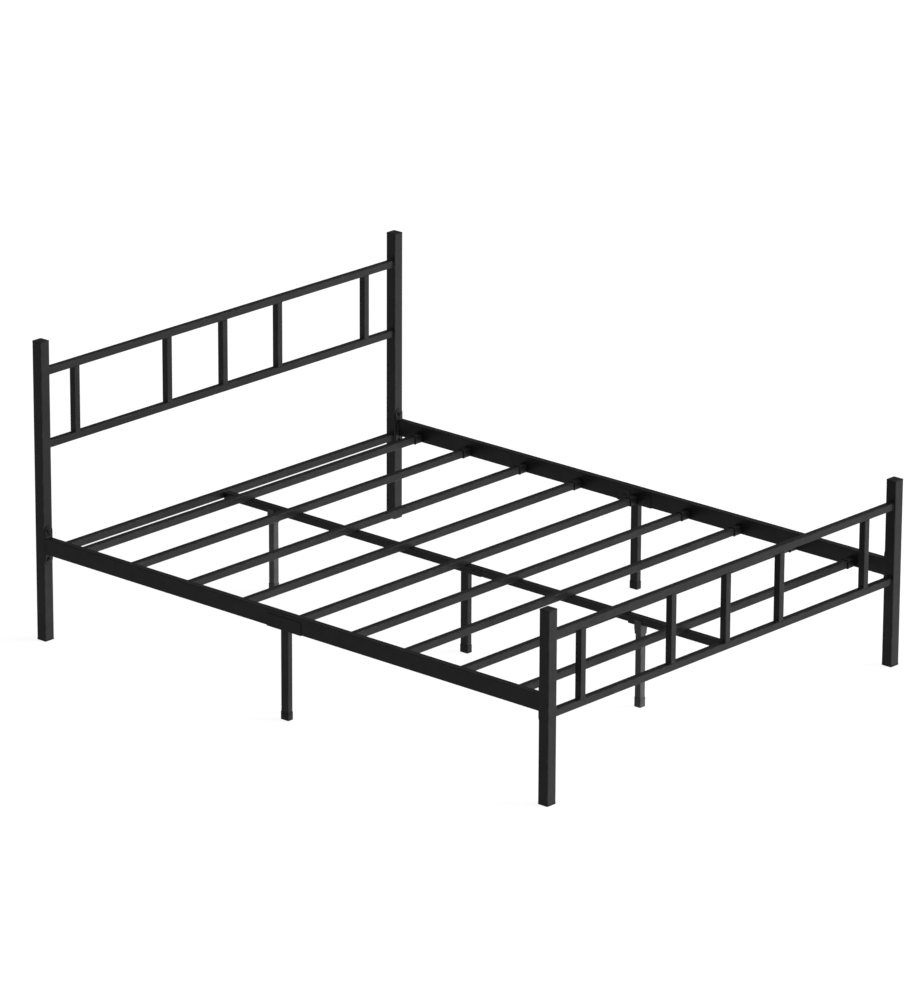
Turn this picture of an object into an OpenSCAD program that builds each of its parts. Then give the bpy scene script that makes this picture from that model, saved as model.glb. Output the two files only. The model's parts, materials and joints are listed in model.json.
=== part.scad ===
// Metal bed frame: a welded headboard and footboard of square tube, two bolted side rails in
// halves, steel slats in plastic sockets, and a centre rail on three legs.
// Millimetres. The origin is on the floor at the middle of the bed, +Y runs to the head, +Z is up.

/* [Overall size] */
// Width over the outer faces of the corner posts
frame_w = 1635; // [1430:1:2100]
// Length over the outer faces of the corner posts
frame_l = 2108; // [1950:1:2300]
// Height of the head posts, caps included
head_h = 971; // [930:1:1300]
// Height of the foot posts, caps included
foot_h = 603; // [560:1:800]

/* [Tubes] */
// Side of the square corner posts
post = 38; // [34:1:45]
// Side of the square cross rails, spindles and slats
bar = 23; // [20:1:24]
// Thickness of a side rail, across the bed
rail_t = 23; // [20:1:28]
// Height of a side rail
rail_h = 54; // [50:1:64]
// Side of the square centre rail
beam = 24; // [22:1:26]
// Width of the legs under the middle joints, across the bed
leg_x = 20; // [18:1:26]
// Width of those legs along the bed
leg_y = 30; // [20:1:36]
// Side of the two slimmer prop legs
prop = 23; // [19:1:24]
// Wall of the posts and side rails
wall = 1.5; // [1.2:0.1:2]
// Wall of the smaller tubes
thin_wall = 1.2; // [1:0.1:1.5]

/* [Heights] */
// Underside of the slats, level with the top of the centre rail
deck_z = 289; // [250:1:340]
// How far the undersides of the side rails lie below the slats
rail_drop = 3; // [2:1:10]
// How far the headboard's deck rail rises above the undersides of the slats
head_rail_rise = 2.5; // [0:0.5:6]
// Middle of the headboard's top rail
head_top_z = 868; // [700:1:900]
// Middle of the headboard's lower rail
head_low_z = 633; // [500:1:660]
// Middle of the footboard's top rail
foot_top_z = 519; // [420:1:530]

/* [Spacing] */
// Distance of the two inner spindles from the middle one
spindle_in = 250; // [150:1:350]
// Distance of the two outer spindles from the middle one
spindle_out = 655; // [450:1:700]
// Place of each slat along the bed, from the head end
slat_y = [919, 708, 466, 234, 0, -213, -427, -650, -879]; // [-900:1:940]
// Place of the two prop legs along the bed
prop_y = [818, -706]; // [-900:1:900]
// Gap between a side rail's outer face and the plane of the posts' outer faces
rail_inset = 3; // [2.8:0.1:8]

/* [Fittings] */
// Width of the end plate welded to a side rail
plate_w = 32; // [28:1:34]
// Distance of a plate's bolt above or below the rail
plate_bolt_gap = 19; // [16:1:30]
// Thickness of the end plates
plate_t = 3; // [2:0.5:5]
// Length of the channel that joins two halves of a rail
joint_l = 140; // [110:1:180]
// Sheet thickness of that channel
joint_t = 1.5; // [1.2:0.1:3]
// Length of a slat socket, out from the side rail
socket_l = 32; // [22:1:40]
// Height of the sleeves on the feet of the legs
sleeve_h = 25; // [15:1:40]
// Height of the sleeves on the feet of the prop legs
prop_sleeve_h = 30; // [20:1:40]

/* [Hidden] */
$fn = 48;
head = 1;
foot = -1;
sides = [-1, 1];
ends = [head, foot];

post_x = (frame_w - post) / 2;
post_y = (frame_l - post) / 2;
cross_l = frame_w - 2 * post;
post_r = 4;
rail_r = 3;
bar_r = 2.5;

cap_t = 5;
cap_lip = 0.5;
plug_t = 5;
insert_l = 18;
insert_gap = 0.3;
sleeve_wall = 1.2;
sleeve_gap = 0.1;
sleeve_floor = 4;

rail_x = frame_w / 2 - rail_inset - rail_t / 2;
rail_end = frame_l / 2 - post - plate_t;
rail_z = deck_z - rail_drop;
rail_top = rail_z + rail_h;
plate_bolt_z = [rail_z - plate_bolt_gap, rail_top + plate_bolt_gap];
split_gap = 1;
joint_bolt_y = 40;
joint_bolt_z = 20;
joint_fit = 0.1;
bend_r = 1;
flange_h = 40;
notch_gap = 2;

beam_end = post_y - bar / 2;
beam_in = beam - 2 * thin_wall;
beam_bolt_y = beam_end - 30;
spigot_l = 55;
spigot = beam_in - 0.6;
spigot_wall = 2;

slat_wall_gap = 0.2;
socket_wall = 2;
socket_r = 3;
socket_rim = 1;
socket_rim_l = 3;
socket_back = 3;
peg_r = 3;
peg_l = 6;
peg_y = 8;

prop_top = 233;
saddle_top = deck_z - beam;
saddle_l = prop + 3;
saddle_block = 12;
saddle_lip = 1;
cheek_h = 14;
cheek_t = 2.5;
saddle_w = beam + 2 * cheek_t + 1;
tab_t = 4;
tab_l = 41;
tab_bolt = 31;

m8_hole = 9;
m6_hole = 6.6;
m8_nut_t = 6.5;
m6_nut_t = 5;
thread_gap = 0.1;
washer_d = 16;
washer_hole = 8.4;
washer_t = 1.6;
plate_bolt_l = 16;
beam_bolt_l = 12;
bolt_tail = 1;

steel = "#2b2b2c";
light_steel = "#4b4c4e";
plastic = "#232324";
zinc = "#8d9094";

function numbered(name, count) = [for (i = [1:count]) str(name, "_", i)];

SPINDLE_X = [-spindle_out, -spindle_in, 0, spindle_in, spindle_out];
HEAD_SPINDLES = numbered("head_spindle", len(SPINDLE_X));
FOOT_SPINDLES = numbered("foot_spindle", len(SPINDLE_X));
SLATS = numbered("slat", len(slat_y));

// ---- Tube sections and lengths ----

module round_rect(a, b, r) {
    square([a - 2 * r, b], center = true);
    square([a, b - 2 * r], center = true);
    for (x = sides, y = sides)
        translate([x * (a / 2 - r), y * (b / 2 - r)]) circle(r);
}

module tube_section(a, b, w, r) {
    difference() {
        round_rect(a, b, r);
        round_rect(a - 2 * w, b - 2 * w, r - w);
    }
}

module bar_x(length) {
    rotate([90, 0, 90])
        linear_extrude(length, center = true) tube_section(bar, bar, thin_wall, bar_r);
}

module bar_z(length) {
    linear_extrude(length) tube_section(bar, bar, thin_wall, bar_r);
}

// A tube along Y between two places
module tube_y(from, to, a, b, w, r) {
    translate([0, to, 0]) rotate([90, 0, 0])
        linear_extrude(to - from) tube_section(a, b, w, r);
}

module pad(a, b, t, r) {
    linear_extrude(t) round_rect(a, b, r);
}

// ---- Fasteners: each stands on the origin with its shank down ----

module button_bolt(d, length, head_d, head_l, socket_af) {
    dome_drop = head_d * 0.45;
    socket_floor = head_l * 0.45;
    difference() {
        intersection() {
            cylinder(h = head_l, d = head_d);
            translate([0, 0, -dome_drop]) sphere(r = head_l + dome_drop);
        }
        translate([0, 0, socket_floor]) cylinder(h = head_l, d = socket_af * 2 / sqrt(3), $fn = 6);
    }
    translate([0, 0, -length]) cylinder(h = length, d = d);
}

module m8_bolt(length) { button_bolt(8, length, 14, 4.4, 5); }
module m6_bolt(length) { button_bolt(6, length, 10.5, 3.3, 4); }

module nut(d, af, t) {
    difference() {
        cylinder(h = t, d = af * 2 / sqrt(3), $fn = 6);
        translate([0, 0, -1]) cylinder(h = t + 2, d = d + 2 * thread_gap);
    }
}

module m8_nut() { nut(8, 13, m8_nut_t); }
module m6_nut() { nut(6, 10, m6_nut_t); }

// Places with a bolt's head out along +X or -X, or facing the middle of the bed along Y
module facing_x(side) { rotate([0, side * 90, 0]) children(); }
module facing_y(end) { rotate([end * 90, 0, 0]) children(); }

// ---- Headboard and footboard ----

// The bolted face looks to the middle of the bed
module corner_post(side, end, height) {
    color(steel) translate([side * post_x, end * post_y, 0])
        difference() {
            translate([0, 0, plug_t])
                linear_extrude(height - plug_t - cap_t) tube_section(post, post, wall, post_r);
            for (z = plate_bolt_z)
                translate([0, -end * post / 2, z]) rotate([90, 0, 0])
                    cylinder(h = 4 * wall, d = m8_hole, center = true);
        }
}

module cross_rail(end, z) {
    color(steel) translate([0, end * post_y, z]) bar_x(cross_l);
}

module spindle(end, x, z_low, z_high) {
    color(steel) translate([x, end * post_y, z_low + bar / 2]) bar_z(z_high - z_low - bar);
}

// ---- Side rails ----

// Half a side rail, with holes for the joint bolt and for the pegs of its slat sockets
module side_rail(side, end) {
    inner_face = side * (rail_x - rail_t / 2);
    color(steel) difference() {
        translate([side * rail_x, 0, rail_z + rail_h / 2])
            mirror([0, end < 0 ? 1 : 0, 0])
                tube_y(split_gap / 2, rail_end, rail_t, rail_h, wall, rail_r);
        translate([inner_face, end * joint_bolt_y, rail_z + joint_bolt_z])
            rotate([0, 90, 0]) cylinder(h = 4 * wall, d = m6_hole, center = true);
        for (y = slat_y, p = sides)
            if (end * (y + p * peg_y) > 0)
                translate([inner_face, y + p * peg_y, deck_z + bar / 2])
                    rotate([0, 90, 0]) cylinder(h = 4 * wall, r = peg_r + thread_gap, center = true);
    }
}

// Upright plate with round ends, welded to the rail and bolted to the post
module end_plate(side, end) {
    color(steel) translate([side * post_x, end * (rail_end + plate_t / 2), 0])
        rotate([90, 0, 0]) linear_extrude(plate_t, center = true) difference() {
            union() {
                translate([-plate_w / 2, plate_bolt_z[0]])
                    square([plate_w, plate_bolt_z[1] - plate_bolt_z[0]]);
                for (z = plate_bolt_z) translate([0, z]) circle(d = plate_w);
            }
            for (z = plate_bolt_z) translate([0, z]) circle(d = m8_hole);
        }
}

// Outline with square corners at the top and round ones at the bottom
module channel_outline(width, low, high, r) {
    translate([-width / 2, low + r]) square([width, high - low - r]);
    translate([-width / 2 + r, low]) square([width - 2 * r, 2 * r]);
    for (x = sides) translate([x * (width / 2 - r), low + r]) circle(r);
}

// U channel of bent sheet under a rail joint. The flanges can be notched in the middle, on the
// side that faces the middle of the bed, to clear a slat socket.
module joint_channel(tube_w, height, notch) {
    inner_w = tube_w + 2 * joint_fit;
    outer_w = inner_w + 2 * joint_t;
    color(steel) difference() {
        rotate([90, 0, 0]) linear_extrude(joint_l, center = true) difference() {
            channel_outline(outer_w, -joint_t, height, bend_r + joint_t);
            channel_outline(inner_w, 0, height + 1, bend_r);
        }
        translate([-outer_w, -notch / 2, 0]) cube([outer_w, notch, height + 1]);
        for (y = sides) translate([0, y * joint_bolt_y, 0]) children();
    }
}

module side_joint_channel(side) {
    notch = bar + 2 * (socket_wall + notch_gap);
    translate([side * rail_x, 0, rail_z]) mirror([side < 0 ? 1 : 0, 0, 0])
        joint_channel(rail_t, flange_h, notch)
            translate([-rail_t, 0, joint_bolt_z]) rotate([0, 90, 0])
                cylinder(h = rail_t, d = m6_hole);
}

module centre_joint_channel() {
    translate([0, 0, saddle_top])
        joint_channel(beam, beam - 2, 0)
            translate([0, 0, beam / 2]) rotate([0, 90, 0])
                cylinder(h = 2 * beam, d = m6_hole, center = true);
}

// ---- Slats ----

module slat(y) {
    color(steel) translate([0, y, deck_z + bar / 2])
        bar_x(2 * (rail_x - rail_t / 2 - socket_back));
}

// Plastic socket on the inner face of a side rail: it opens towards -X, and its two pegs
// sit in the rail's wall
module slat_socket() {
    hole = bar + 2 * slat_wall_gap;
    outer = bar + 2 * socket_wall;
    rim = outer + 2 * socket_rim;
    difference() {
        union() {
            rotate([90, 0, -90]) pad(outer, outer, socket_l, socket_r);
            translate([-socket_l + socket_rim_l, 0, 0])
                rotate([90, 0, -90]) pad(rim, rim, socket_rim_l, socket_r + socket_rim / 2);
        }
        translate([-socket_back, 0, slat_wall_gap])
            rotate([90, 0, -90]) pad(hole, hole, socket_l, socket_r - socket_wall);
    }
    for (p = sides)
        translate([0, p * peg_y, 0]) rotate([0, 90, 0]) cylinder(h = peg_l, r = peg_r);
}

module slat_sockets() {
    color(plastic) for (side = sides, y = slat_y)
        translate([side * (rail_x - rail_t / 2), y, deck_z + bar / 2])
            mirror([side < 0 ? 1 : 0, 0, 0]) slat_socket();
}

// ---- Centre rail ----

module centre_rail(end) {
    color(steel) difference() {
        translate([0, 0, deck_z - beam / 2]) mirror([0, end < 0 ? 1 : 0, 0])
            tube_y(split_gap / 2, beam_end, beam, beam, thin_wall, bar_r);
        translate([0, end * joint_bolt_y, deck_z - beam / 2]) rotate([0, 90, 0])
            cylinder(h = 2 * beam, d = m6_hole, center = true);
        for (y = [beam_bolt_y, end * saddle_bolt_y(end)])
            translate([0, end * y, saddle_top]) cylinder(h = 4 * thin_wall, d = m6_hole, center = true);
    }
}

// Stub welded to the cross rail, inside the end of the centre rail
module centre_rail_spigots() {
    color(steel) for (end = ends)
        translate([0, 0, deck_z - beam / 2]) mirror([0, end < 0 ? 1 : 0, 0]) difference() {
            tube_y(beam_end - spigot_l, beam_end, spigot, spigot, spigot_wall, bar_r);
            translate([0, beam_bolt_y, -beam / 2]) cylinder(h = beam / 2, d = m6_hole);
        }
}

// ---- Legs ----

// A leg from its foot sleeve up to the underside of a joint channel
module joint_leg(x, top) {
    color(steel) translate([x, 0, sleeve_floor])
        linear_extrude(top - joint_t - sleeve_floor) tube_section(leg_x, leg_y, wall, bar_r);
}

module prop_leg(end) {
    color(light_steel) translate([0, prop_place(end), sleeve_floor])
        linear_extrude(prop_top - sleeve_floor) tube_section(prop, prop, thin_wall, bar_r);
}

function prop_place(end) = prop_y[end == head ? 0 : 1];
function saddle_bolt_y(end) = prop_place(end) - end * tab_bolt;

// Narrows from the block under the rail to the leg, in one direction
module taper_section(low, high, height) {
    polygon([[-low / 2, 0], [low / 2, 0], [high / 2, height], [-high / 2, height]]);
}

// Top of a prop leg: it holds the centre rail from below between two cheeks, and its tab
// runs towards the middle of the bed
module prop_saddle(end) {
    taper_h = saddle_top - saddle_block - prop_top;
    low = prop + 2 * saddle_lip;
    plug = prop - 2 * thin_wall - insert_gap;
    color(light_steel) translate([0, prop_place(end), 0]) mirror([0, end < 0 ? 1 : 0, 0]) {
        translate([0, 0, prop_top]) intersection() {
            rotate([90, 0, 0]) linear_extrude(2 * saddle_l, center = true)
                taper_section(low, saddle_w, taper_h);
            rotate([90, 0, 90]) linear_extrude(2 * saddle_w, center = true)
                taper_section(low, saddle_l, taper_h);
        }
        translate([-saddle_w / 2, -saddle_l / 2, saddle_top - saddle_block])
            cube([saddle_w, saddle_l, saddle_block]);
        for (side = sides)
            translate([side * (saddle_w - cheek_t) / 2, 0, saddle_top])
                translate([-cheek_t / 2, -saddle_l / 2, 0]) cube([cheek_t, saddle_l, cheek_h]);
        difference() {
            translate([-beam / 2, -tab_l, saddle_top - tab_t]) cube([beam, tab_l, tab_t]);
            translate([0, -tab_bolt, saddle_top - 2 * tab_t]) cylinder(h = 3 * tab_t, d = m6_hole);
        }
        translate([0, 0, prop_top - insert_l]) pad(plug, plug, insert_l, bar_r - thin_wall);
    }
}

module prop_saddles() {
    for (end = ends) prop_saddle(end);
}

// ---- Caps and feet ----

// Flat cap with a lip over the tube's end and a plug inside the tube
module end_plug(side_a, tube_wall, t, r) {
    inside = side_a - 2 * tube_wall - insert_gap;
    pad(side_a + 2 * cap_lip, side_a + 2 * cap_lip, t, r + cap_lip);
    translate([0, 0, -insert_l]) pad(inside, inside, insert_l, r - tube_wall);
}

module post_caps() {
    color(plastic) for (side = sides, end = ends)
        translate([side * post_x, end * post_y, (end == head ? head_h : foot_h) - cap_t])
            end_plug(post, wall, cap_t, post_r);
}

module post_feet() {
    color(plastic) for (side = sides, end = ends)
        translate([side * post_x, end * post_y, plug_t]) mirror([0, 0, 1])
            end_plug(post, wall, plug_t, post_r);
}

// Open sleeve that a leg of a by b stands in
module foot_sleeve(a, b, height) {
    fit = 2 * sleeve_gap;
    grow = 2 * (sleeve_gap + sleeve_wall);
    difference() {
        pad(a + grow, b + grow, height, bar_r + sleeve_wall);
        translate([0, 0, sleeve_floor]) pad(a + fit, b + fit, height, bar_r);
    }
}

module leg_feet() {
    color(plastic) for (x = [-rail_x, 0, rail_x])
        translate([x, 0, 0]) foot_sleeve(leg_x, leg_y, sleeve_h);
}

module prop_feet() {
    color(light_steel) for (end = ends)
        translate([0, prop_place(end), 0]) foot_sleeve(prop, prop, prop_sleeve_h);
}

// ---- Fastener sets ----

module at_plate_bolts() {
    for (side = sides, end = ends, z = plate_bolt_z)
        translate([side * post_x, end * rail_end, z]) facing_y(end) children();
}

module plate_bolts() {
    color(steel) at_plate_bolts() translate([0, 0, washer_t]) m8_bolt(plate_bolt_l);
}

module plate_washers() {
    color(steel) at_plate_bolts() difference() {
        cylinder(h = washer_t, d = washer_d);
        translate([0, 0, -1]) cylinder(h = washer_t + 2, d = washer_hole);
    }
}

module plate_nuts() {
    color(zinc) at_plate_bolts() translate([0, 0, -plate_t - wall - m8_nut_t]) m8_nut();
}

// Side rails: heads on the inner flange and nuts welded inside the outer wall.
// Centre rail: bolts right through, with nuts on the far flange.
module joint_bolts() {
    side_grip = rail_t / 2 + joint_fit + joint_t;
    beam_grip = beam / 2 + joint_fit + joint_t;
    color(steel) for (y = sides) {
        for (side = sides)
            translate([side * (rail_x - side_grip), y * joint_bolt_y, rail_z + joint_bolt_z])
                facing_x(-side) m6_bolt(side_grip + rail_t / 2 - 2 * wall);
        translate([-beam_grip, y * joint_bolt_y, deck_z - beam / 2])
            facing_x(-1) m6_bolt(2 * beam_grip + m6_nut_t + bolt_tail);
    }
}

module joint_nuts() {
    beam_grip = beam / 2 + joint_fit + joint_t;
    color(zinc) for (y = sides) {
        for (side = sides)
            translate([side * (rail_x + rail_t / 2 - wall), y * joint_bolt_y, rail_z + joint_bolt_z])
                facing_x(-side) m6_nut();
        translate([beam_grip, y * joint_bolt_y, deck_z - beam / 2]) facing_x(1) m6_nut();
    }
}

// Bolts up into the centre rail: at each spigot and at each prop saddle
module beam_bolts() {
    color(steel) for (end = ends) {
        translate([0, end * beam_bolt_y, saddle_top]) mirror([0, 0, 1]) m6_bolt(beam_bolt_l);
        translate([0, saddle_bolt_y(end), saddle_top - tab_t]) mirror([0, 0, 1]) m6_bolt(beam_bolt_l);
    }
}

module beam_nuts() {
    spigot_floor = deck_z - beam / 2 - spigot / 2 + spigot_wall;
    color(zinc) for (end = ends) {
        translate([0, end * beam_bolt_y, spigot_floor]) m6_nut();
        translate([0, saddle_bolt_y(end), saddle_top + thin_wall]) m6_nut();
    }
}

// ---- The nodes ----

corner_post(-1, head, head_h);  // head_post_left
corner_post(1, head, head_h);  // head_post_right
corner_post(-1, foot, foot_h);  // foot_post_left
corner_post(1, foot, foot_h);  // foot_post_right
cross_rail(head, head_top_z);  // head_top_rail
cross_rail(head, head_low_z);  // head_lower_rail
cross_rail(head, head_rail_rise + deck_z - bar / 2);  // head_deck_rail
cross_rail(foot, foot_top_z);  // foot_top_rail
cross_rail(foot, deck_z - bar / 2);  // foot_lower_rail
for (i = [0:len(SPINDLE_X) - 1]) {
    spindle(head, SPINDLE_X[i], head_low_z, head_top_z);
    spindle(foot, SPINDLE_X[i], deck_z - bar / 2, foot_top_z);
}
side_rail(-1, head);  // side_rail_left_head
side_rail(-1, foot);  // side_rail_left_foot
side_rail(1, head);  // side_rail_right_head
side_rail(1, foot);  // side_rail_right_foot
end_plate(-1, head);  // end_plate_left_head
end_plate(-1, foot);  // end_plate_left_foot
end_plate(1, head);  // end_plate_right_head
end_plate(1, foot);  // end_plate_right_foot
side_joint_channel(-1);  // joint_channel_left
side_joint_channel(1);  // joint_channel_right
centre_joint_channel();  // joint_channel_centre
for (i = [0:len(slat_y) - 1])
    slat(slat_y[i]);
slat_sockets();
centre_rail(head);  // centre_rail_head
centre_rail(foot);  // centre_rail_foot
centre_rail_spigots();
joint_leg(-rail_x, rail_z);  // side_leg_left
joint_leg(rail_x, rail_z);  // side_leg_right
joint_leg(0, saddle_top);  // middle_leg
prop_leg(head);  // prop_leg_head
prop_leg(foot);  // prop_leg_foot
prop_saddles();
post_caps();
post_feet();
leg_feet();
prop_feet();
plate_bolts();
plate_washers();
plate_nuts();
joint_bolts();
joint_nuts();
beam_bolts();
beam_nuts();
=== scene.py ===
"""Looks for a metal bed frame: powder-coated square tube, moulded plastic ends and black bolts."""

import json
import math
import random

import bpy
from mathutils import Matrix, Vector


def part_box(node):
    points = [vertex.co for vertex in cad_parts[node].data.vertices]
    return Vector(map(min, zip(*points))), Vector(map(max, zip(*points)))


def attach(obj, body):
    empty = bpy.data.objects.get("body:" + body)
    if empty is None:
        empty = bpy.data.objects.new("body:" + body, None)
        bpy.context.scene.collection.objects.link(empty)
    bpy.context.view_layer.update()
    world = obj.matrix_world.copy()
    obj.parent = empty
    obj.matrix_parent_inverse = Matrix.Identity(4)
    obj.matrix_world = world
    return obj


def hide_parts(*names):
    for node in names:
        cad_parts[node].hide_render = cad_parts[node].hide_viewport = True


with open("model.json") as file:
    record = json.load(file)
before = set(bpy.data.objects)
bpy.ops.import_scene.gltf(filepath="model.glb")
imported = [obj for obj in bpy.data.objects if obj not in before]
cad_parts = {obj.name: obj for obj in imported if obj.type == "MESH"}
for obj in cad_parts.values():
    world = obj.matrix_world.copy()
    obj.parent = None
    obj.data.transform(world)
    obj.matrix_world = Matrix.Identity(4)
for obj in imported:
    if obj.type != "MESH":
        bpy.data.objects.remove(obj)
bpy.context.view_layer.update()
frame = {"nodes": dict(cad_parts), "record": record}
nodes = frame["nodes"]
dice = random.Random(7)
MM = 0.001

SIDES = ("left", "right")
ENDS = ("head", "foot")
POSTS = [f"{end}_post_{side}" for end in ENDS for side in SIDES]
SPINDLES = {end: [f"{end}_spindle_{i}" for i in range(1, 6)] for end in ENDS}
SLATS = [f"slat_{i}" for i in range(1, 10)]
JOINT_LEGS = {"side_leg_left": "joint_channel_left", "side_leg_right": "joint_channel_right",
              "middle_leg": "joint_channel_centre"}
PROP_LEGS = ("prop_leg_head", "prop_leg_foot")
CROSS_RAILS = {"head": ("head_top_rail", "head_lower_rail", "head_deck_rail"),
               "foot": ("foot_top_rail", "foot_lower_rail")}

# Small sizes that the frame's boxes don't give: tubes, moulded ends and slat sockets
TUBE_WALL = 1.5 * MM
POST_CORNER = 4 * MM
RAIL_CORNER = 3 * MM
TUBE_CORNER = 2.5 * MM
PLUG_LENGTH = 18 * MM
PLUG_GAP = 0.15 * MM
CAP_LIP = 0.5 * MM
CAP_CROWN = 0.9 * MM
SLEEVE_FLOOR = 4 * MM
SLEEVE_GAP = 0.1 * MM
PROP_SLEEVE_BAND = 6 * MM
SOCKET_LENGTH = 32 * MM
SOCKET_WALL = 2 * MM
SOCKET_CORNER = 3 * MM
SOCKET_RIM = 1 * MM
SOCKET_RIM_LENGTH = 3 * MM
SOCKET_BACK = 3 * MM
SOCKET_GAP = 0.2 * MM
PEG_OFFSET = 8 * MM
PEG_RADIUS = 3 * MM

X, Y, Z = Vector((1, 0, 0)), Vector((0, 1, 0)), Vector((0, 0, 1))


# ---- Stage: camera, floor and lights ----

def make_camera():
    """The photograph's view: from the foot's left-hand corner, with a long lens."""
    azimuth, elevation, roll = math.radians(-48.046), math.radians(18.722), math.radians(0.26)
    distance, right_shift, up_shift = 20.376, -0.0121, 0.4686
    back = Vector((math.sin(azimuth) * math.cos(elevation),
                   -math.cos(azimuth) * math.cos(elevation), math.sin(elevation)))
    level_right = Vector((math.cos(azimuth), math.sin(azimuth), 0))
    level_up = back.cross(level_right)
    right = level_right * math.cos(roll) + level_up * math.sin(roll)
    up = level_up * math.cos(roll) - level_right * math.sin(roll)
    data = bpy.data.cameras.new("camera")
    data.sensor_width = 36
    data.lens = 237.55
    data.clip_end = 200
    camera = bpy.data.objects.new("camera", data)
    place = Matrix.Translation(back * distance + right * right_shift + up * up_shift)
    camera.matrix_world = place @ Matrix((right, up, back)).transposed().to_4x4()
    bpy.context.scene.collection.objects.link(camera)
    bpy.context.scene.camera = camera


def make_floor():
    """A plain white floor that lights the object as little as a studio sweep far below it."""
    mesh = bpy.data.meshes.new("floor")
    reach = 60
    corners = [(-reach, -reach, 0), (reach, -reach, 0), (reach, reach, 0), (-reach, reach, 0)]
    mesh.from_pydata(corners, [], [(0, 1, 2, 3)])
    floor = bpy.data.objects.new("floor", mesh)
    floor.location.z = -0.5 * MM
    bpy.context.scene.collection.objects.link(floor)
    floor.visible_glossy = False
    floor.visible_diffuse = False
    material = bpy.data.materials.new("floor")
    material.use_nodes = True
    shader = material.node_tree.nodes["Principled BSDF"]
    shader.inputs["Base Color"].default_value = (0.25, 0.25, 0.25, 1)
    shader.inputs["Roughness"].default_value = 0.9
    shader.inputs["Specular IOR Level"].default_value = 0
    shader.inputs["Emission Color"].default_value = (1, 1, 1, 1)
    shader.inputs["Emission Strength"].default_value = 0.90
    mesh.materials.append(material)


def light(name, kind, place, strength):
    """A light that shines from a place towards the middle of the bed; it stays out of view."""
    data = bpy.data.lights.new(name, kind)
    data.energy = strength
    lamp = bpy.data.objects.new(name, data)
    lamp.location = place
    lamp.rotation_mode = "QUATERNION"
    lamp.rotation_quaternion = (Z * 0.4 - Vector(place)).to_track_quat("-Z", "Y")
    lamp.visible_camera = False
    bpy.context.scene.collection.objects.link(lamp)
    return lamp


def studio_brightness(tree):
    """The room's light: bright low on the foot's right, dim at mid height, with a soft ceiling."""
    where = tree.nodes.new("ShaderNodeTexCoord")
    toward = tree.nodes.new("ShaderNodeVectorMath")
    toward.operation = "DOT_PRODUCT"
    toward.inputs[1].default_value = Vector((0.74, -0.66, -0.10)).normalized()
    tree.links.new(where.outputs["Generated"], toward.inputs[0])
    across = map_range(tree, toward.outputs["Value"], -0.6, 1.0, 0.36, 0.95)
    height = tree.nodes.new("ShaderNodeSeparateXYZ")
    tree.links.new(where.outputs["Generated"], height.inputs[0])
    upward = map_range(tree, height.outputs["Z"], -0.25, 0.35, 1.0, 0.05)
    ceiling = map_range(tree, height.outputs["Z"], 0.5, 0.85, 0.0, 0.55)
    return math_node(tree, "ADD", math_node(tree, "MULTIPLY", across, upward), ceiling)


def make_lights():
    """A soft key on the foot's right, a weak light from behind, one overhead, and the room."""
    key = light("key", "SUN", (7.5, -9.0, 3.5), 3.0)
    key.data.angle = math.radians(25)
    key.visible_glossy = False
    back = light("back", "SUN", (6.0, 9.0, 0.4), 3.0)
    back.data.angle = math.radians(10)
    back.visible_glossy = False
    top = light("top", "AREA", (2.5, -2.5, 5.4), 110)
    top.data.size = 6
    world = bpy.data.worlds.new("studio")
    bpy.context.scene.world = world
    world.use_nodes = True
    tree = world.node_tree
    tree.nodes.clear()
    out = tree.nodes.new("ShaderNodeOutputWorld")
    white = tree.nodes.new("ShaderNodeBackground")
    white.inputs["Strength"].default_value = 1.0
    white.inputs["Color"].default_value = (1, 1, 1, 1)
    studio = tree.nodes.new("ShaderNodeBackground")
    tree.links.new(studio_brightness(tree), studio.inputs["Strength"])
    path = tree.nodes.new("ShaderNodeLightPath")
    mix = tree.nodes.new("ShaderNodeMixShader")
    tree.links.new(path.outputs["Is Camera Ray"], mix.inputs["Fac"])
    tree.links.new(studio.outputs[0], mix.inputs[1])
    tree.links.new(white.outputs[0], mix.inputs[2])
    tree.links.new(mix.outputs[0], out.inputs["Surface"])
    bpy.context.scene.view_settings.view_transform = "Standard"


# ---- Shader building blocks ----

def math_node(tree, operation, a, b):
    """A math node; each input is a socket or a number."""
    node = tree.nodes.new("ShaderNodeMath")
    node.operation = operation
    for socket, value in zip(node.inputs, (a, b)):
        if isinstance(value, (int, float)):
            socket.default_value = value
        else:
            tree.links.new(value, socket)
    return node.outputs[0]


def map_range(tree, value, low, high, to_low, to_high):
    """A smooth ramp from to_low to to_high as the value goes from low to high."""
    node = tree.nodes.new("ShaderNodeMapRange")
    node.interpolation_type = "SMOOTHSTEP"
    node.inputs["From Min"].default_value = low
    node.inputs["From Max"].default_value = high
    node.inputs["To Min"].default_value = to_low
    node.inputs["To Max"].default_value = to_high
    tree.links.new(value, node.inputs["Value"])
    return node.outputs["Result"]


def noise(tree, size, detail=2.0, stretch=(1, 1, 1)):
    """Noise of a given grain size in metres, in the object's own space."""
    where = tree.nodes.new("ShaderNodeTexCoord")
    place = tree.nodes.new("ShaderNodeMapping")
    place.inputs["Scale"].default_value = stretch
    node = tree.nodes.new("ShaderNodeTexNoise")
    node.inputs["Scale"].default_value = 1 / size
    node.inputs["Detail"].default_value = detail
    tree.links.new(where.outputs["Object"], place.inputs["Vector"])
    tree.links.new(place.outputs["Vector"], node.inputs["Vector"])
    return node.outputs["Fac"]


def mix_colour(tree, factor, first, second):
    """The first colour at factor 0 and the second at 1; each is a socket or a tuple."""
    node = tree.nodes.new("ShaderNodeMix")
    node.data_type = "RGBA"
    tree.links.new(factor, node.inputs["Factor"])
    for socket, colour in ((node.inputs["A"], first), (node.inputs["B"], second)):
        if isinstance(colour, tuple):
            socket.default_value = (*colour, 1)
        else:
            tree.links.new(colour, socket)
    return node.outputs["Result"]


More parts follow.
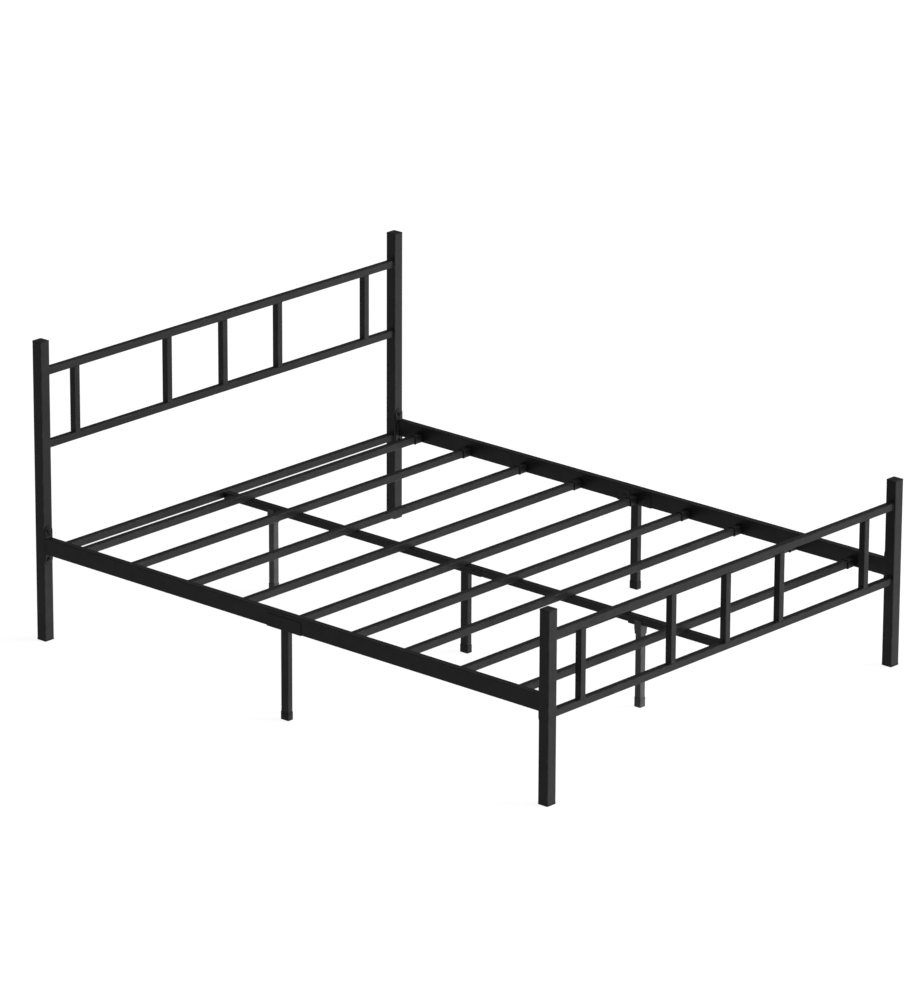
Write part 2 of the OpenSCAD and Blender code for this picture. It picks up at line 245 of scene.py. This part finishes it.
def edge_mask(tree):
    """1 where the surface turns away from the three axes: the rounded edges of tubes and plates."""
    shape = tree.nodes.new("ShaderNodeNewGeometry")
    size = tree.nodes.new("ShaderNodeVectorMath")
    size.operation = "ABSOLUTE"
    tree.links.new(shape.outputs["Normal"], size.inputs[0])
    split = tree.nodes.new("ShaderNodeSeparateXYZ")
    tree.links.new(size.outputs["Vector"], split.inputs[0])
    largest = math_node(tree, "MAXIMUM", split.outputs["X"], split.outputs["Y"])
    largest = math_node(tree, "MAXIMUM", largest, split.outputs["Z"])
    return map_range(tree, largest, 0.97, 0.80, 0.0, 1.0)


def bump(tree, height, depth, strength):
    """A normal for a height of 0 to 1 that stands for a depth in metres."""
    node = tree.nodes.new("ShaderNodeBump")
    node.inputs["Distance"].default_value = depth
    node.inputs["Strength"].default_value = strength
    tree.links.new(height, node.inputs["Height"])
    return node.outputs["Normal"]


def new_material(name):
    """A material with its node tree and its shader."""
    material = bpy.data.materials.new(name)
    material.use_nodes = True
    return material, material.node_tree, material.node_tree.nodes["Principled BSDF"]


# ---- Materials ----

def powder_coat(name, base, rubbed, rough):
    """Satin powder coat: orange-peel skin, faint cloudiness, and paint rubbed paler along edges."""
    material, tree, shader = new_material(name)
    cloud = map_range(tree, noise(tree, 90 * MM, 3), 0.3, 0.7, 0.0, 1.0)
    paint = mix_colour(tree, cloud, tuple(0.86 * c for c in base), tuple(1.14 * c for c in base))
    patches = map_range(tree, noise(tree, 22 * MM, 5), 0.46, 0.66, 0.0, 1.0)
    wear = math_node(tree, "MULTIPLY", edge_mask(tree), patches)
    tree.links.new(mix_colour(tree, wear, paint, rubbed), shader.inputs["Base Color"])
    handled = map_range(tree, noise(tree, 35 * MM, 3), 0.3, 0.7, rough - 0.05, rough + 0.06)
    polished = math_node(tree, "MULTIPLY", wear, -0.10)
    tree.links.new(math_node(tree, "ADD", handled, polished), shader.inputs["Roughness"])
    peel = noise(tree, 1.6 * MM, 2)
    tree.links.new(bump(tree, peel, 0.10 * MM, 0.6), shader.inputs["Normal"])
    return material


def moulded_plastic(name, base, scuffed):
    """Spark-textured moulded plastic, with paler scuffs along its edges."""
    material, tree, shader = new_material(name)
    tint = map_range(tree, noise(tree, 14 * MM, 3), 0.3, 0.7, 0.0, 1.0)
    skin = mix_colour(tree, tint, tuple(0.85 * c for c in base), tuple(1.15 * c for c in base))
    patches = map_range(tree, noise(tree, 5 * MM, 4), 0.48, 0.66, 0.0, 1.0)
    wear = math_node(tree, "MULTIPLY", edge_mask(tree), patches)
    tree.links.new(mix_colour(tree, wear, skin, scuffed), shader.inputs["Base Color"])
    rough = map_range(tree, noise(tree, 8 * MM, 3), 0.3, 0.7, 0.46, 0.60)
    tree.links.new(rough, shader.inputs["Roughness"])
    grain = noise(tree, 0.45 * MM, 3)
    tree.links.new(bump(tree, grain, 0.07 * MM, 0.7), shader.inputs["Normal"])
    return material


def plated_steel(name, dark, pale, rough):
    """Zinc plate: mottled bright and dull grains, with fine turning marks."""
    material, tree, shader = new_material(name)
    shader.inputs["Metallic"].default_value = 1.0
    mottle = map_range(tree, noise(tree, 2.5 * MM, 4), 0.35, 0.65, 0.0, 1.0)
    plate = mix_colour(tree, mottle, dark, pale)
    patches = map_range(tree, noise(tree, 3 * MM), 0.4, 0.6, 0.0, 1.0)
    wear = math_node(tree, "MULTIPLY", edge_mask(tree), patches)
    bare = tuple(min(1.0, 1.5 * c) for c in pale)
    tree.links.new(mix_colour(tree, wear, plate, bare), shader.inputs["Base Color"])
    dulled = map_range(tree, noise(tree, 1.5 * MM, 3), 0.3, 0.7, rough - 0.08, rough + 0.10)
    tree.links.new(dulled, shader.inputs["Roughness"])
    turned = noise(tree, 0.5 * MM, 2, (1, 1, 4))
    tree.links.new(bump(tree, turned, 0.03 * MM, 0.4), shader.inputs["Normal"])
    return material


# Finish of each material slot
LOOKS = {
    "frame_paint": powder_coat("powder_coat_black", (0.0120, 0.0120, 0.0124), (0.045, 0.045, 0.046), 0.42),
    "prop_paint": powder_coat("powder_coat_grey", (0.080, 0.081, 0.083), (0.15, 0.15, 0.153), 0.42),
    "plastic_black": moulded_plastic("plastic_black", (0.0105, 0.0105, 0.011), (0.035, 0.035, 0.036)),
    "plastic_grey": moulded_plastic("plastic_grey", (0.070, 0.071, 0.073), (0.11, 0.11, 0.112)),
    "bolt_black": plated_steel("black_zinc", (0.050, 0.050, 0.051), (0.085, 0.085, 0.087), 0.42),
    "zinc_steel": plated_steel("bright_zinc", (0.42, 0.43, 0.45), (0.62, 0.63, 0.65), 0.34),
}


# ---- Mesh building blocks ----

def rounded_ring(half_x, half_y, corner, z, steps=6):
    """Points round a rectangle with rounded corners, at height z."""
    centres = ((1, 1), (-1, 1), (-1, -1), (1, -1))
    ring = []
    for quarter, (side_x, side_y) in enumerate(centres):
        for i in range(steps + 1):
            angle = (quarter + i / steps) * math.pi / 2
            ring.append(Vector((side_x * (half_x - corner) + corner * math.cos(angle),
                                side_y * (half_y - corner) + corner * math.sin(angle), z)))
    return ring


def round_edge(half_x, half_y, corner, z_start, z_end, radius, steps=5):
    """Rings that turn from an upright side at z_start onto a level face at z_end."""
    rings = []
    for i in range(steps + 1):
        angle = i / steps * math.pi / 2
        inset = radius * (1 - math.cos(angle))
        rings.append(rounded_ring(half_x - inset, half_y - inset, max(corner - inset, 0.1 * MM),
                                  z_start + (z_end - z_start) * math.sin(angle)))
    return rings


def loft(rings):
    """A closed form through rings with equal counts of points, from the low end up."""
    count = len(rings[0])
    points = [point for ring in rings for point in ring]
    faces = [tuple(reversed(range(count)))]
    for row in range(len(rings) - 1):
        for i in range(count):
            j = (i + 1) % count
            faces.append((row * count + i, row * count + j, (row + 1) * count + j, (row + 1) * count + i))
    last = (len(rings) - 1) * count
    faces.append(tuple(range(last, last + count)))
    return points, faces


def placed(form, matrix):
    """The form moved by a matrix."""
    points, faces = form
    return [matrix @ point for point in points], faces


def make_piece(name, forms, slot, replaced=None):
    """One object from several closed forms, in the finish of a material slot."""
    points, faces = [], []
    for form_points, form_faces in forms:
        start = len(points)
        points += form_points
        faces += [tuple(start + i for i in face) for face in form_faces]
    mesh = bpy.data.meshes.new(name)
    mesh.from_pydata(points, [], faces)
    mesh.shade_smooth()
    mesh.set_sharp_from_angle(angle=math.radians(38))
    mesh.materials.append(LOOKS[slot])
    piece = bpy.data.objects.new(name, mesh)
    bpy.context.scene.collection.objects.link(piece)
    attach(piece, "root")
    if replaced:
        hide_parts(replaced)
    return piece


def box_centre(name):
    """Middle of a node's box."""
    low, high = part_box(name)
    return (low + high) / 2


def half_size(name):
    """Half of a node's box along each axis."""
    low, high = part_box(name)
    return (high - low) / 2


# ---- Moulded pieces ----

def tube_end(half, thickness, crown):
    """Moulded end for a square post: a lip over the wall, a crowned face, and a plug below z = 0."""
    outer = half + CAP_LIP
    corner = POST_CORNER + CAP_LIP
    plug = half - TUBE_WALL - PLUG_GAP
    plug_corner = POST_CORNER - TUBE_WALL
    lead_in = 1.5 * MM
    tip = plug - 0.6 * MM
    edge = 1.4 * MM
    rings = [rounded_ring(tip, tip, plug_corner, -PLUG_LENGTH),
             rounded_ring(plug, plug, plug_corner, lead_in - PLUG_LENGTH),
             rounded_ring(plug, plug, plug_corner, 0),
             rounded_ring(outer, outer, corner, 0)]
    rings += round_edge(outer, outer, corner, thickness - crown - edge, thickness - crown, edge)
    flat = outer - edge
    crown_steps = 5
    for i in range(1, crown_steps + 1):
        part = 1 - i / (crown_steps + 0.5)
        rings.append(rounded_ring(flat * part, flat * part, (corner - edge) * part,
                                  thickness - crown * part ** 2))
    return loft(rings)


def post_caps():
    """Crowned caps on the four posts."""
    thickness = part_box("post_caps")[1].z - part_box("head_post_left")[1].z
    forms = []
    for post in POSTS:
        top = box_centre(post).xy.to_3d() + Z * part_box(post)[1].z
        cap = tube_end(half_size(post).x, thickness, CAP_CROWN)
        forms.append(placed(cap, Matrix.Translation(top)))
    make_piece("moulded_post_caps", forms, "plastic_black", "post_caps")


def post_feet():
    """Flat feet under the four posts."""
    upside_down = Matrix.Rotation(math.pi, 4, "X")
    forms = []
    for post in POSTS:
        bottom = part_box(post)[0].z
        place = Matrix.Translation(box_centre(post).xy.to_3d() + Z * bottom) @ upside_down
        forms.append(placed(tube_end(half_size(post).x, bottom, 0), place))
    make_piece("moulded_post_feet", forms, "plastic_black", "post_feet")


def sleeve(half_x, half_y, wall, height, band=0.0):
    """Open sleeve round a leg, with a floor; band is the height of a thicker collar at its top."""
    corner = TUBE_CORNER + wall
    edge = 0.8 * MM
    step = 0.3 * MM
    rings = round_edge(half_x, half_y, corner, edge, 0, edge)[::-1]
    if band:
        rings += [rounded_ring(half_x - step, half_y - step, corner - step, height - band - step),
                  rounded_ring(half_x, half_y, corner, height - band)]
    rings += round_edge(half_x, half_y, corner, height - edge / 2, height, edge / 2)
    inner_x, inner_y = half_x - wall, half_y - wall
    lead_in = 0.2 * MM
    rings += [rounded_ring(inner_x + lead_in, inner_y + lead_in, TUBE_CORNER, height),
              rounded_ring(inner_x, inner_y, TUBE_CORNER, height - 0.5 * MM),
              rounded_ring(inner_x, inner_y, TUBE_CORNER, SLEEVE_FLOOR)]
    return loft(rings)


def leg_feet(name, legs, slot, band=0.0):
    """Sleeves on the feet of some legs, as wide as the CAD's sleeves."""
    node_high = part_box(name)[1]
    height = node_high.z
    grow = node_high.x - max(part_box(leg)[1].x for leg in legs)
    forms = []
    for leg in legs:
        half = half_size(leg)
        form = sleeve(half.x + grow, half.y + grow, grow - SLEEVE_GAP, height, band)
        forms.append(placed(form, Matrix.Translation(box_centre(leg).xy.to_3d())))
    make_piece(f"moulded_{name}", forms, slot, name)


def peg(radius, length, steps=20):
    """Round peg from z = 0 down, with a chamfered tip; its root is sunk in what it stands on."""
    def ring(r, z):
        return [Vector((r * math.cos(2 * math.pi * i / steps), r * math.sin(2 * math.pi * i / steps), z))
                for i in range(steps)]
    tip = 0.6 * MM
    root = 0.5 * MM
    return loft([ring(radius - tip, -length), ring(radius, tip - length), ring(radius, root)])


def slat_socket(half_slat, length):
    """Socket that opens along +Z from a flat back at z = 0, with a flange round its mouth."""
    hole = half_slat + SOCKET_GAP
    hole_corner = SOCKET_CORNER - SOCKET_WALL
    mouth = hole + 0.7 * MM
    body = half_slat + SOCKET_WALL
    flange = body + SOCKET_RIM
    flange_corner = SOCKET_CORNER + SOCKET_RIM / 2
    edge = 0.6 * MM
    cove = length - SOCKET_RIM_LENGTH - SOCKET_RIM
    rings = [rounded_ring(body, body, SOCKET_CORNER, 0),
             rounded_ring(body, body, SOCKET_CORNER, cove)]
    cove_steps = 4
    for i in range(1, cove_steps + 1):
        turn = i / cove_steps * math.pi / 2
        grow = SOCKET_RIM * (1 - math.cos(turn))
        rings.append(rounded_ring(body + grow, body + grow, SOCKET_CORNER + grow / 2,
                                  cove + SOCKET_RIM * math.sin(turn)))
    rings += round_edge(flange, flange, flange_corner, length - edge, length, edge, 3)
    rings += [rounded_ring(mouth, mouth, hole_corner + edge, length),
              rounded_ring(hole, hole, hole_corner, length - 0.9 * MM),
              rounded_ring(hole, hole, hole_corner, SOCKET_BACK)]
    return loft(rings)


def slat_sockets():
    """A socket at both ends of each slat, with two pegs in the side rail's wall."""
    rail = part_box("side_rail_left_head")[1].x
    peg_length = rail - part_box("slat_sockets")[0].x
    forms = []
    for slat in SLATS:
        centre = box_centre(slat)
        for side in (-1, 1):
            face = side * abs(rail)
            inward = Matrix.Rotation(-side * math.pi / 2, 4, "Y")
            place = Matrix.Translation(Vector((face, centre.y, centre.z))) @ inward
            forms.append(placed(slat_socket(half_size(slat).y, SOCKET_LENGTH), place))
            for offset in (-PEG_OFFSET, PEG_OFFSET):
                forms.append(placed(peg(PEG_RADIUS, peg_length), place @ Matrix.Translation(Y * offset)))
    make_piece("moulded_slat_sockets", forms, "plastic_black", "slat_sockets")


# ---- Weld beads ----

def weld_bead(start, end, out_a, out_b, leg=2.6 * MM):
    """Rippled fillet weld along the inside corner of two faces that run off along out_a and out_b."""
    length = (end - start).length
    count = max(8, round(length / (0.5 * MM)))
    ripple = 1.7 * MM
    phase = dice.uniform(0, ripple)
    sunk = 0.5 * MM
    rings = []
    for i in range(count + 1):
        along = i / count
        scale = 1 + 0.10 * abs(math.sin(math.pi * (along * length + phase) / ripple))
        scale *= 1 + dice.uniform(-0.03, 0.03)
        scale *= min(1.0, 0.45 + 4 * min(along, 1 - along))
        size = leg * scale
        spot = start.lerp(end, along)
        section = [(-sunk, -sunk), (size, -sunk)]
        for step in range(5):
            turn = step / 4 * math.pi / 2
            reach = size / (math.cos(turn) + math.sin(turn)) + 0.16 * size * math.sin(2 * turn)
            section.append((reach * math.cos(turn), reach * math.sin(turn)))
        section.append((-sunk, size))
        rings.append([spot + out_a * a + out_b * b for a, b in section])
    along = (end - start).normalized()
    if out_a.cross(out_b).dot(along) < 0:
        rings = [ring[::-1] for ring in rings]
    return loft(rings)


def spindle_welds(end):
    """Beads on both sides of each spindle, where it meets the rail above and the rail below."""
    forms = []
    for spindle in SPINDLES[end]:
        low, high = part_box(spindle)
        for side, x in ((-X, low.x), (X, high.x)):
            for z, up in ((low.z, Z), (high.z, -Z)):
                start = Vector((x, low.y + TUBE_CORNER, z))
                stop = Vector((x, high.y - TUBE_CORNER, z))
                forms.append(weld_bead(start, stop, side, up))
    return forms


def collar_welds(low, high, axis, corner):
    """Beads round a tube's end: axis points along the tube, away from the face it is welded to."""
    across = [v for v in (X, Y, Z) if abs(v.dot(axis)) < 0.5]
    centre = (low + high) / 2
    half = (high - low) / 2
    foot = centre - axis * abs(half.dot(axis))
    forms = []
    for out, along in (across, across[::-1]):
        for side in (-1, 1):
            middle = foot + out * side * abs(half.dot(out))
            reach = along * (abs(half.dot(along)) - corner * 0.6)
            forms.append(weld_bead(middle - reach, middle + reach, out * side, axis))
    return forms


def end_frame_welds(end):
    """Beads of the headboard or the footboard: its spindles, and its rails on the posts."""
    forms = spindle_welds(end)
    for rail in CROSS_RAILS[end]:
        for side in (-1, 1):
            forms += collar_welds(*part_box(rail), X * -side, TUBE_CORNER)
    return forms


def side_rail_welds():
    """Beads over, under and inside each side rail's end, on its end plate."""
    forms = []
    for side, inward in (("left", X), ("right", -X)):
        for end, away in (("head", -Y), ("foot", Y)):
            low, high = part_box(f"side_rail_{side}_{end}")
            y = high.y if end == "head" else low.y
            inner = high.x if side == "left" else low.x
            for z, out in ((low.z, -Z), (high.z, Z)):
                start = Vector((low.x + RAIL_CORNER, y, z))
                stop = Vector((high.x - RAIL_CORNER, y, z))
                forms.append(weld_bead(start, stop, out, away))
            start = Vector((inner, y, low.z + RAIL_CORNER))
            stop = Vector((inner, y, high.z - RAIL_CORNER))
            forms.append(weld_bead(start, stop, inward, away))
    return forms


def leg_welds():
    """Beads round the top of each leg, under its joint channel."""
    forms = []
    for leg in JOINT_LEGS:
        forms += collar_welds(*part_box(leg), -Z, TUBE_CORNER)
    return forms


# ---- Finishes on the CAD nodes ----

def soften_edges(name, width):
    """Rolled edges on a node that is cut with sharp ones."""
    piece = nodes[name]
    weld = piece.modifiers.new("join", "WELD")
    weld.merge_threshold = 0.01 * MM
    bevel = piece.modifiers.new("rolled_edge", "BEVEL")
    bevel.width = width
    bevel.segments = 3
    bevel.limit_method = "ANGLE"
    bevel.angle_limit = math.radians(40)
    bevel.harden_normals = True


def dress_cad_nodes():
    """Each node's finish from the record, and rolled edges on plates, channels and fasteners."""
    for part in frame["record"]["subparts"]:
        nodes[part["node"]].material_slots[0].material = LOOKS[part["material_slot"]]
    for side in SIDES:
        for end in ENDS:
            soften_edges(f"end_plate_{side}_{end}", 0.5 * MM)
    for channel in JOINT_LEGS.values():
        soften_edges(channel, 0.7 * MM)
    soften_edges("prop_saddles", 0.8 * MM)
    for fasteners in ("plate_bolts", "plate_washers", "plate_nuts", "joint_bolts", "joint_nuts",
                      "beam_bolts", "beam_nuts"):
        soften_edges(fasteners, 0.3 * MM)


# ---- The scene ----

make_camera()
make_floor()
make_lights()
dress_cad_nodes()
post_caps()
post_feet()
leg_feet("leg_feet", tuple(JOINT_LEGS), "plastic_black")
leg_feet("prop_feet", PROP_LEGS, "plastic_grey", PROP_SLEEVE_BAND)
slat_sockets()
for end in ENDS:
    make_piece(f"welds_{end}_frame", end_frame_welds(end), "frame_paint")
make_piece("welds_side_rails", side_rail_welds(), "frame_paint")
make_piece("welds_legs", leg_welds(), "frame_paint")
